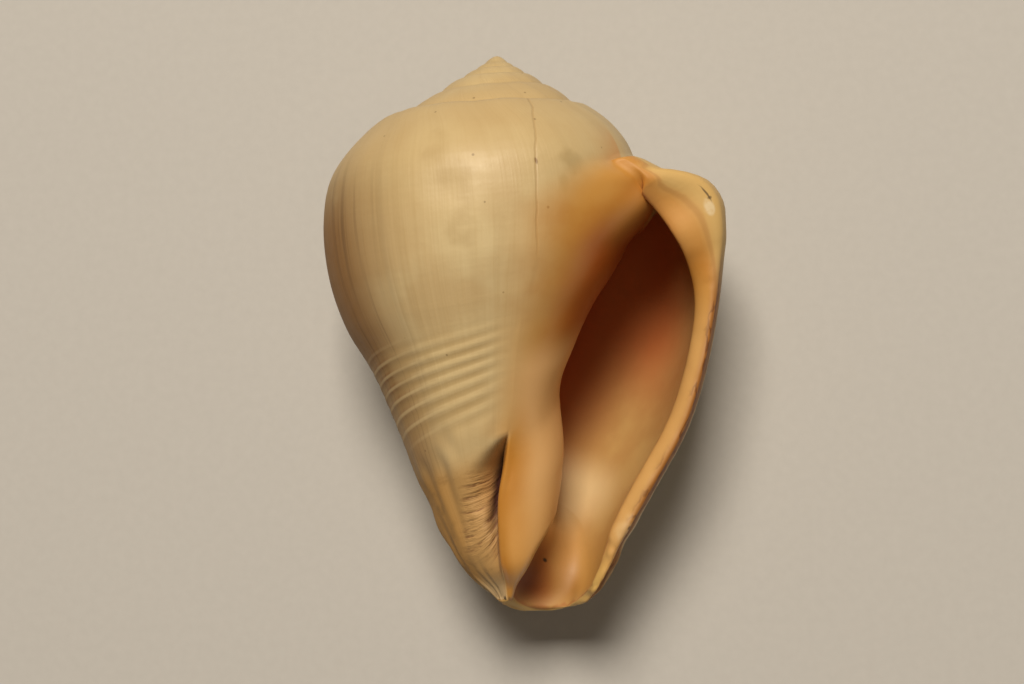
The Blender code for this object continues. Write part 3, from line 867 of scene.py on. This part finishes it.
# %% Turn to the resting position
LEAN_DEG = 7.0
ROLL_DEG = 6.0
BASE_CENTRE = (2.264, -29.994, -24.131)  # the point that comes to the origin of the frame

# The turn that lays the upright shell on its back.
LAY = Matrix.Rotation(math.radians(ROLL_DEG), 3, "Y") @ Matrix.Rotation(math.radians(LEAN_DEG), 3, "X")


def lay_down(points):
    """Points of the upright shell where it rests, in mm."""
    return np.atleast_2d(points) @ np.array(LAY).T - np.array(BASE_CENTRE)


print("leaned", LEAN_DEG, "degrees and rolled", ROLL_DEG, "degrees")

# %% Make the mesh
mesh = bpy.data.meshes.new("crown_conch")
mesh.from_pydata((lay_down(np.array(weld.points)) * MM).tolist(), [], weld.faces)
corner_rows = np.array(weld.rows)
surface_map = mesh.uv_layers.new(name="surface_mm")
surface_map.data.foreach_set("uv", table[corner_rows, :2].astype(np.float32).ravel())
for k, key in enumerate(names):
    layer = mesh.attributes.new(key, "FLOAT", "CORNER")
    layer.data.foreach_set("value", table[corner_rows, 2 + k].astype(np.float32))
lift = mesh.attributes.new("lift_mm", "FLOAT", "POINT")
lift.data.foreach_set("value", np.array([np.mean(v) for v in weld.lift], np.float32))

shape = bmesh.new()
shape.from_mesh(mesh)
bmesh.ops.recalc_face_normals(shape, faces=shape.faces)
bmesh.ops.triangulate(shape, faces=[f for f in shape.faces if len(f.verts) > 4])
if shape.calc_volume(signed=True) < 0:
    bmesh.ops.reverse_faces(shape, faces=shape.faces)
print("open edges:", sum(1 for e in shape.edges if not e.is_manifold))
print("volume, cm3:", round(shape.calc_volume() * 1e6, 2))
shape.to_mesh(mesh)
shape.free()
mesh.shade_smooth()

# %% Raise the relief and keep inside the solid's box
count = len(mesh.vertices)
points = np.empty(count * 3)
mesh.vertices.foreach_get("co", points)
points = points.reshape(-1, 3)
normals = np.empty(count * 3)
mesh.vertex_normals.foreach_get("vector", normals)
rise_mm = np.empty(count, np.float32)
mesh.attributes["lift_mm"].data.foreach_get("value", rise_mm)
points = points + normals.reshape(-1, 3) * rise_mm[:, None] * MM
points = np.clip(points, np.array(cad_box[0]) + 1e-6, np.array(cad_box[1]) - 1e-6)
mesh.vertices.foreach_set("co", points.ravel())
mesh.attributes.remove(mesh.attributes["lift_mm"])
mesh.update()
shell = bpy.data.objects.new("conch_shell", mesh)
bpy.context.scene.collection.objects.link(shell)
print("triangles:", sum(len(p.vertices) - 2 for p in mesh.polygons))

# %% [markdown]
# ## What a shell is made of
#
# A sea shell is aragonite, a hard chalk that the snail lays down in thin sheets, so its gloss
# comes from how it was finished, not from another material. Outside, sand has worn it to a
# chalky satin. Round the mouth the mantle kept polishing it, and it is smooth as a glaze. Light
# bends into aragonite with an IOR of about 1.6, which gives the soft, slightly strong highlight.
#
# One finish holds all of this, because the zones melt into each other with no edge. It mixes the
# colours by the fields, and adds the lines that are too fine for the mesh.

# %% Colours and the node helper
# A socket is given by name, or counted from 0: Mix has its share at 0 and its colours at 6 and 7,
# TexCoord gives the object's coordinates at 3, and Attribute gives its number at 2.
def srgb(code):
    """An sRGB hex colour as the linear colour that the renderer works in."""
    parts = [int(code[i : i + 2], 16) / 255.0 for i in (1, 3, 5)]
    return tuple(c / 12.92 if c <= 0.04045 else ((c + 0.055) / 1.055) ** 2.4 for c in parts) + (1.0,)


def add(tree, kind, inputs, out=0, **settings):
    """Adds a node with its settings and its inputs, values or links, and returns one output."""
    made = tree.nodes.new("ShaderNode" + kind)
    for name, value in settings.items():
        setattr(made, name, value)
    for key, value in inputs.items():
        if isinstance(value, bpy.types.NodeSocket):
            tree.links.new(value, made.inputs[key])
        else:
            made.inputs[key].default_value = value
    return made.outputs[out]


# %% Start the finish, with the surface map and the fields
aragonite = bpy.data.materials.new("worn_aragonite")
aragonite.use_nodes = True
tree = aragonite.node_tree
polish = tree.nodes["Principled BSDF"]
flat_map = add(tree, "UVMap", {}, uv_map="surface_mm")
solid_map = add(tree, "TexCoord", {}, out=3)
map_down = add(tree, "SeparateXYZ", {0: flat_map}, out=1)
field = {name: add(tree, "Attribute", {}, out=2, attribute_name=name) for name in names}
print("fields in the finish:", len(field))


# %% Patterns drawn in millimetres
def stretched(along_mm, down_mm, detail=2.0, roughness=0.5):
    """Noise on the surface map with the given size along the spiral and down the whorl."""
    size = (1.0 / along_mm, 1.0 / down_mm, 0.0)
    scaled = add(tree, "VectorMath", {0: flat_map, 1: size}, operation="MULTIPLY")
    inputs = {"Vector": scaled, "Scale": 1.0, "Detail": detail, "Roughness": roughness}
    return add(tree, "TexNoise", inputs, noise_dimensions="2D")


def stripe(value, centre, half_width):
    """1 on a line where the value is centre, and 0 at half_width from it."""
    off = add(tree, "Math", {0: value, 1: centre}, operation="SUBTRACT")
    off = add(tree, "Math", {0: off}, operation="ABSOLUTE")
    inputs = {0: off, 1: half_width, 2: half_width * 0.2}
    return add(tree, "MapRange", inputs, interpolation_type="SMOOTHSTEP")


def mask(*parts):
    """Product of its parts: numbers, outputs, or outputs eased from 0 to 1 between two values."""
    whole = None
    for part in parts:
        if isinstance(part, tuple):
            inputs = {0: part[0], 1: part[1], 2: part[2]}
            part = add(tree, "MapRange", inputs, interpolation_type="SMOOTHSTEP")
        whole = part if whole is None else add(tree, "Math", {0: whole, 1: part}, operation="MULTIPLY")
    return whole


def layered(base, *layers):
    """Lays colours over the base one by one. A layer is a colour and the parts of its mask."""
    for colour, *parts in layers:
        inputs = {0: mask(*parts), 6: base, 7: srgb(colour)}
        base = add(tree, "Mix", inputs, out=2, data_type="RGBA")
    return base


def blot(back_mm, down_mm, wide_mm, tall_mm, wander=0.35):
    """An uneven round mark at one place on the surface map."""
    off = add(tree, "VectorMath", {0: flat_map, 1: (back_mm, down_mm, 0.0)}, operation="SUBTRACT")
    size = (1.0 / wide_mm, 1.0 / tall_mm, 0.0)
    off = add(tree, "VectorMath", {0: off, 1: size}, operation="MULTIPLY")
    reach = add(tree, "VectorMath", {0: off}, out=1, operation="LENGTH")
    rough = add(tree, "Math", {0: lumps, 1: wander * 2.0, 2: reach}, operation="MULTIPLY_ADD")
    return mask((rough, 1.0 + wander, 0.35 + wander))


# %% [markdown]
# ### Chalky outside
#
# Growth lines lie along the old lips, about 0.4 mm apart, and whole seasons show as broader
# bands of tan and cream. Weathering adds faint clouds. The cords of the lower whorl are pale on
# top and tan in the grooves, where dirt stays. One brown line marks where growth once stopped.

# %% Noise for the outside
PER_METRE = 1000.0  # mm in the metre that the object's own coordinates are in
fine_growth = stretched(0.42, 16.0, 2.0)
seasons = stretched(3.4, 60.0, 4.0, 0.62)
streaks = stretched(1.3, 40.0, 3.0, 0.6)
spiral_lines = stretched(34.0, 0.75, 1.0)
clouds = add(tree, "TexNoise", {"Vector": solid_map, "Scale": PER_METRE / 9.0, "Detail": 4.0})
lumps = add(tree, "TexNoise", {"Vector": solid_map, "Scale": PER_METRE / 1.4, "Detail": 2.0})
grains = add(tree, "TexNoise", {"Vector": solid_map, "Scale": PER_METRE / 0.5, "Detail": 1.0})
specks = add(tree, "TexVoronoi", {"Vector": solid_map, "Scale": PER_METRE / 3.4}, feature="F1")

# %% Colour of the outside
cord_phase = add(tree, "Math", {0: field["cord"], 1: 2.0 * math.pi}, operation="MULTIPLY")
cord_ridge = add(tree, "Math", {0: cord_phase}, operation="COSINE")
wander = add(tree, "Math", {0: stretched(90.0, 3.5), 1: 0.5, 2: field["scar"]}, operation="MULTIPLY_ADD")
scar_line = mask(stripe(wander, 0.25, 0.20), field["pause"])
outside = layered(
    srgb("#D2B98A"),
    ("#DECA9C", (clouds, 0.38, 0.62)),  # paler clouds
    ("#A88752", (seasons, 0.48, 0.74), 0.16),  # seasons
    ("#B8985E", (fine_growth, 0.50, 0.75), 0.12),  # growth lines
    ("#BCA373", (map_down, 21.0, 12.0), 0.60),  # painted shade, darker and greyer high on the whorl and the spire, which face the lamp
    ("#E0C794", (map_down, 24.0, 31.0), 0.45),  # painted light, creamier lower down, where the whorl turns from the lamp
    ("#875919", field["shade"], 0.90),  # painted shade on the left side
    ("#5E421E", field["shade"], (streaks, 0.48, 0.70), 0.55),  # brown streaks in it
    ("#AC8E58", (cord_ridge, 0.3, -0.9), field["cords"], 0.42),  # grooves between cords
    ("#E3CD9C", (cord_ridge, 0.55, 1.0), field["cords"], 0.50),  # tops of cords
    ("#A07C48", scar_line, 0.30),  # where growth stopped
)
print("outside colour uses", len(tree.nodes), "nodes so far")

# %% Marks of weather on the outside
outside = layered(
    outside,
    ("#A48C5C", blot(105.2, 12.4, 2.0, 1.9), 0.45),  # stain beside the callus
    ("#A8925F", blot(103.8, 14.6, 1.0, 1.3), 0.35),  # and a fainter one
    ("#7D5A34", blot(100.6, 12.2, 0.22, 0.45), 0.8),  # dark mark on the growth line
    ("#B69C6C", (clouds, 0.60, 0.72), 0.45),  # dull clouds
    ("#7A5F3C", (specks, 0.055, 0.03), 0.6),  # dark specks
)
print("and", len(tree.nodes), "with its marks")

# %% [markdown]
# ### Wrinkled band and chink
#
# Below the cords, the growth lines of the canal crowd into a wrinkled band. It curls up into the
# chink beside the columella. The chink holds a dark stain, and its hole, which runs in under the edge
# of the columella, is painted dark as shade. A darker brown band lies beside the columella.

# %% Colour of the wrinkled band and the chink
fold_run = add(tree, "Math", {0: field["past"], 1: 0.30}, operation="MULTIPLY")
fold_place = add(tree, "CombineXYZ", {0: field["fold"], 1: fold_run, 2: 0.0})
inputs = {"Vector": fold_place, "Scale": 1.0, "Detail": 3.0, "Roughness": 0.6}
folds = add(tree, "TexNoise", inputs, noise_dimensions="2D")
mottling = stretched(7.0, 1.1, 3.0, 0.6)
by_columella = (field["past"], -3.6, -0.4)
outside = layered(
    outside,
    ("#B68844", field["fasciole"], 0.75),  # ground of the band
    ("#94703C", (mottling, 0.52, 0.68), field["fasciole"], 0.45),  # its mottling
    ("#C99F68", field["strokes"], 0.40),  # paler where it is wrinkled
    ("#7C4E2A", field["strokes"], (folds, 0.45, 0.34), (lumps, 0.30, 0.50), 0.85),  # creases
    ("#A87C58", by_columella, field["fasciole"], (clouds, 0.3, 0.6), 0.6),  # darker brown band beside the columella
    ("#C7B088", field["tip"], 0.7),  # worn tip of the canal
    ("#43190D", (field["chink"], 0.12, 0.85)),  # painted shade of the chink's hole, with its dark stain
)
print("and", len(tree.nodes), "with the wrinkled band")

# %% [markdown]
# ### Glaze of the mouth
#
# The callus, the columella and the lip are one smooth glaze, orange where it is thick and rosier on
# the columella. Painted shade browns it toward the dark of the chamber and on the side of the canal,
# and painted light lifts it in the shaded gutter of the top corner and at the low end of the
# columella. Over the old whorl it thins to nothing, so its edge is very soft above and sharp only
# where it ends at the chink.

# %% Colour of the glaze over the callus, the columella and the canal
glaze = layered(
    srgb("#C48636"),
    ("#CC974C", (clouds, 0.35, 0.65)),  # paler clouds
    ("#EEC084", field["rosy"], 0.90),  # rosy columella
    ("#E4AE66", (field["past"], 0.4, 1.4), (map_down, 45.0, 49.0), 0.60),  # painted light on its low end, which turns from the lamp
    ("#C0924C", field["canal"], 0.85),  # canal
    ("#9C6C34", field["canal"], (map_down, 51.5, 56.0), 0.75),  # painted shade on the low canal floor
    ("#BA5910", field["dusk"], 0.95),  # painted shade, browner toward the chamber
    ("#6C3414", field["canal"], field["dusk"], 0.80),  # painted shade, darker on the side of the canal
    ("#EAA858", (field["past"], 6.0, 10.0), (map_down, 24.0, 17.0), 0.70),  # painted light in the shaded gutter of the top corner
)

# %% Colour of the glaze over the lip
bevel_highlight = stripe(field["groove"], 1.0, 1.5)
inputs = {0: stretched(40.0, 2.2, 3.0), 1: 1.1, 2: field["margin"]}
ragged = add(tree, "Math", inputs, operation="MULTIPLY_ADD")
on_lip = mask((field["past"], -30.0, -40.0))
glaze = layered(
    glaze,
    ("#E2AC64", bevel_highlight, (map_down, 15.0, 10.0), (map_down, 3.0, 5.5), 0.55),  # painted highlight on the bevel
    ("#D8AE70", on_lip, (field["margin"], 1.4, -0.4), (map_down, 15.0, 24.0), 0.75),  # pale margin
    ("#DDB868", on_lip, field["canal"], (field["margin"], 0.6, -0.5), 0.70),  # its canal end, a pale yellow edge, with painted light where the rim faces from the lamp
    ("#93451A", on_lip, (field["margin"], -0.7, 1.0), (map_down, 14.0, 9.0), 0.70),  # brown inner face
    ("#A8643A", stripe(ragged, 0.75, 0.28), 0.5),  # ragged brown line
)
print("glaze and outside use", len(tree.nodes), "nodes")

# %% [markdown]
# ### Chamber and lip
#
# Behind the lip the glaze gives way to plain cream shell, with painted light low down, where light
# comes in, and a painted shade of warm red brown in the depth, where it only sees itself. The edge
# of the lip is where the wall shows its broken end: pale on top, stained brown along the side, and
# chipped.

# %% Colour of the chamber
chamber = layered(
    srgb("#CCA76A"),
    ("#C2985E", (clouds, 0.4, 0.6)),  # tan clouds
    ("#EBD2A2", (map_down, 41.0, 48.0), (field["margin"], 6.0, 14.0), 0.70),  # painted light on the low part, where light comes in
    ("#C2683A", field["depth"]),  # painted shade, red brown in the depth
)
inside = add(tree, "Mix", {0: field["hollow"], 6: glaze, 7: chamber}, out=2, data_type="RGBA")

# %% Rim of the lip with its marks, and the spot in the canal
outside = layered(outside, ("#DBB46C", field["lip_top"], 0.80))
surface = add(tree, "Mix", {0: field["glaze"], 6: outside, 7: inside}, out=2, data_type="RGBA")
stain_lines = stripe(stretched(1.4, 3.4, 3.0), 0.5, 0.07)
surface = layered(
    surface,
    ("#9E5E16", field["lip_side"], 0.92),  # brown side
    ("#5E3012", field["lip_side"], stain_lines, 0.7),  # and its lines
    ("#B07C40", stripe(field["groove"], 0.0, 0.16), 0.4),  # groove where the glaze starts
    ("#F2E4C4", blot(-0.62, 9.6, 0.28, 1.0, 0.7), (grains, 0.05, 0.5), 0.55),  # pale chip
    ("#4A3826", blot(-0.47, 8.3, 0.055, 1.2, 0.5), 0.75),  # crack
    ("#4A3826", blot(-0.46, 8.8, 0.12, 0.2, 0.7), 0.65),  # wider place on it
    ("#E6CFA0", blot(-0.8, 40.2, 1.0, 1.8, 0.6), 0.3),  # pale chip lower down
    ("#6A4526", blot(-0.2, 39.8, 0.25, 0.3), 0.8),  # pit beside it
    ("#20150E", blot(-7.8, 58.8, 0.38, 0.38, 0.2), 0.95),  # dark spot in the canal
)
print("finish uses", len(tree.nodes), "nodes")

# %% [markdown]
# ### Gloss and fine relief
#
# Gloss is roughness turned round: the worn outside scatters light and the glaze gathers it into a
# soft highlight, while dirt and stain dull both. Lines under a millimetre are bump, which costs
# no faces: growth lines, faint spiral lines, grains and the creases of the wrinkled band.

# %% Roughness
ROUGH_CHALK = 0.52
ROUGH_GLAZE = 0.38
gloss = add(tree, "MapRange", {0: field["glaze"], 3: ROUGH_CHALK, 4: ROUGH_GLAZE})
dull = field["fasciole"]
for name in ("canal", "lip_top", "lip_side", "shade"):
    dull = add(tree, "Math", {0: dull, 1: field[name]}, operation="ADD")
dull = mask(dull, 0.20)
uneven = add(tree, "MapRange", {0: lumps, 1: 0.3, 2: 0.8, 3: -0.05, 4: 0.05})
roughness = add(tree, "Math", {0: gloss, 1: dull}, operation="ADD")
roughness = add(tree, "Math", {0: roughness, 1: uneven}, operation="ADD")
print("roughness from", ROUGH_GLAZE, "on the glaze to", ROUGH_CHALK, "on the chalk, before stains")

# %% Bump in mm, and the finish on the shell
bare = add(tree, "Math", {0: 1.0, 1: field["glaze"]}, operation="SUBTRACT")
height = mask(fine_growth, bare, 0.022)
for part in (
    mask(spiral_lines, bare, 0.014),
    mask(grains, 0.010),
    mask(folds, field["strokes"], 0.30),
    mask(scar_line, -0.03),
):
    height = add(tree, "Math", {0: height, 1: part}, operation="ADD")
relief = add(tree, "Bump", {"Height": height, "Strength": 1.0, "Distance": MM})
tree.links.new(surface, polish.inputs["Base Color"])
tree.links.new(roughness, polish.inputs["Roughness"])
tree.links.new(relief, polish.inputs["Normal"])
polish.inputs["IOR"].default_value = 1.6
shell.data.materials.append(aragonite)
print("finish uses", len(tree.nodes), "nodes in all")

# %% [markdown]
# ## Stage
#
# A plain pale floor and soft light show a pale, curved thing best. One large lamp stands beyond
# the spire and to its left, as a window would, so the cords catch it and the mouth falls into
# shade. A faint card above the mouth lets the eye see a little way in, and a weak sky fills the
# rest. The floor is matt card, which has no gloss and so shows nothing but the soft shadow.

# %% Floor
FLOOR_HALF = 3.0
FIBRE_SCALE = 900.0  # flecks to a metre, about 1.1 mm each
floor_mesh = bpy.data.meshes.new("floor")
floor_corners = [(x * FLOOR_HALF, y * FLOOR_HALF, 0) for x, y in ((-1, -1), (1, -1), (1, 1), (-1, 1))]
floor_mesh.from_pydata(floor_corners, [], [(0, 1, 2, 3)])
floor = bpy.data.objects.new("floor", floor_mesh)
bpy.context.scene.collection.objects.link(floor)
paper = bpy.data.materials.new("matt_card")
paper.use_nodes = True
card = paper.node_tree
card_surface = card.nodes["Principled BSDF"]
fibre = add(card, "TexNoise", {"Vector": add(card, "TexCoord", {}, out=3), "Scale": FIBRE_SCALE})
card_tone = add(card, "MapRange", {"Value": fibre, "To Min": 0.50, "To Max": 0.54})
card.links.new(card_tone, card_surface.inputs["Base Color"])
card_surface.inputs["Roughness"].default_value = 0.9
floor_mesh.materials.append(paper)
print("floor, m:", 2.0 * FLOOR_HALF)

# %% Lamps and sky
def lamp(name, toward, distance, size, watts, colour):
    """A square soft lamp that looks at the shell from a direction in the shell's own frame."""
    direction = (LAY @ Vector(toward)).normalized()
    light = bpy.data.lights.new(name, "AREA")
    light.size = size
    light.energy = watts
    light.color = srgb(colour)[:3]
    holder = bpy.data.objects.new(name, light)
    bpy.context.scene.collection.objects.link(holder)
    holder.location = direction * distance + Vector((0.0, 0.0, 0.015))
    holder.rotation_euler = direction.to_track_quat("Z", "Y").to_euler()
    print(name, "lamp at", [round(v, 2) for v in holder.location])


lamp("window", toward=(-0.11, 0.50, 0.86), distance=0.8, size=0.26, watts=6.6, colour="#FFF1DC")
lamp("card", toward=(0.05, -0.05, 1.0), distance=0.8, size=0.3, watts=0.4, colour="#FFE6C8")
sky = bpy.data.worlds.new("soft_sky")
sky.use_nodes = True
sky.node_tree.nodes["Background"].inputs[0].default_value = srgb("#F4E2C8")
sky.node_tree.nodes["Background"].inputs[1].default_value = 0.075
bpy.context.scene.world = sky
bpy.context.scene.view_settings.view_transform = "Standard"

# %% [markdown]
# ## Camera
#
# The camera looks at the shell from straight above its mouth, 200 mm from the axis. That is along
# the shell's own -Z, so the camera takes the same lean and roll as the shell. The lens follows
# from the distance and from how many mm the picture is wide there.

# %% Camera
VIEW_FROM = (1.1, -31.1, 200.0)
VIEW_WIDTH = 111.3088  # mm across the picture at the axis of the shell
VIEW_ROLL_DEG = -1.0
camera = bpy.data.cameras.new("camera")
camera.sensor_width = 36.0
camera.lens = camera.sensor_width * VIEW_FROM[2] / VIEW_WIDTH
camera.clip_start = 0.005
viewer = bpy.data.objects.new("camera", camera)
bpy.context.scene.collection.objects.link(viewer)
look_down = LAY @ Matrix.Rotation(math.radians(VIEW_ROLL_DEG), 3, "Z")
viewer.matrix_world = Matrix.Translation(Vector(lay_down(VIEW_FROM)[0]) * MM) @ look_down.to_4x4()
bpy.context.scene.camera = viewer
print("lens, mm:", round(camera.lens, 1))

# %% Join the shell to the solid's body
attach(shell, "root")
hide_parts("shell")
bpy.context.view_layer.update()
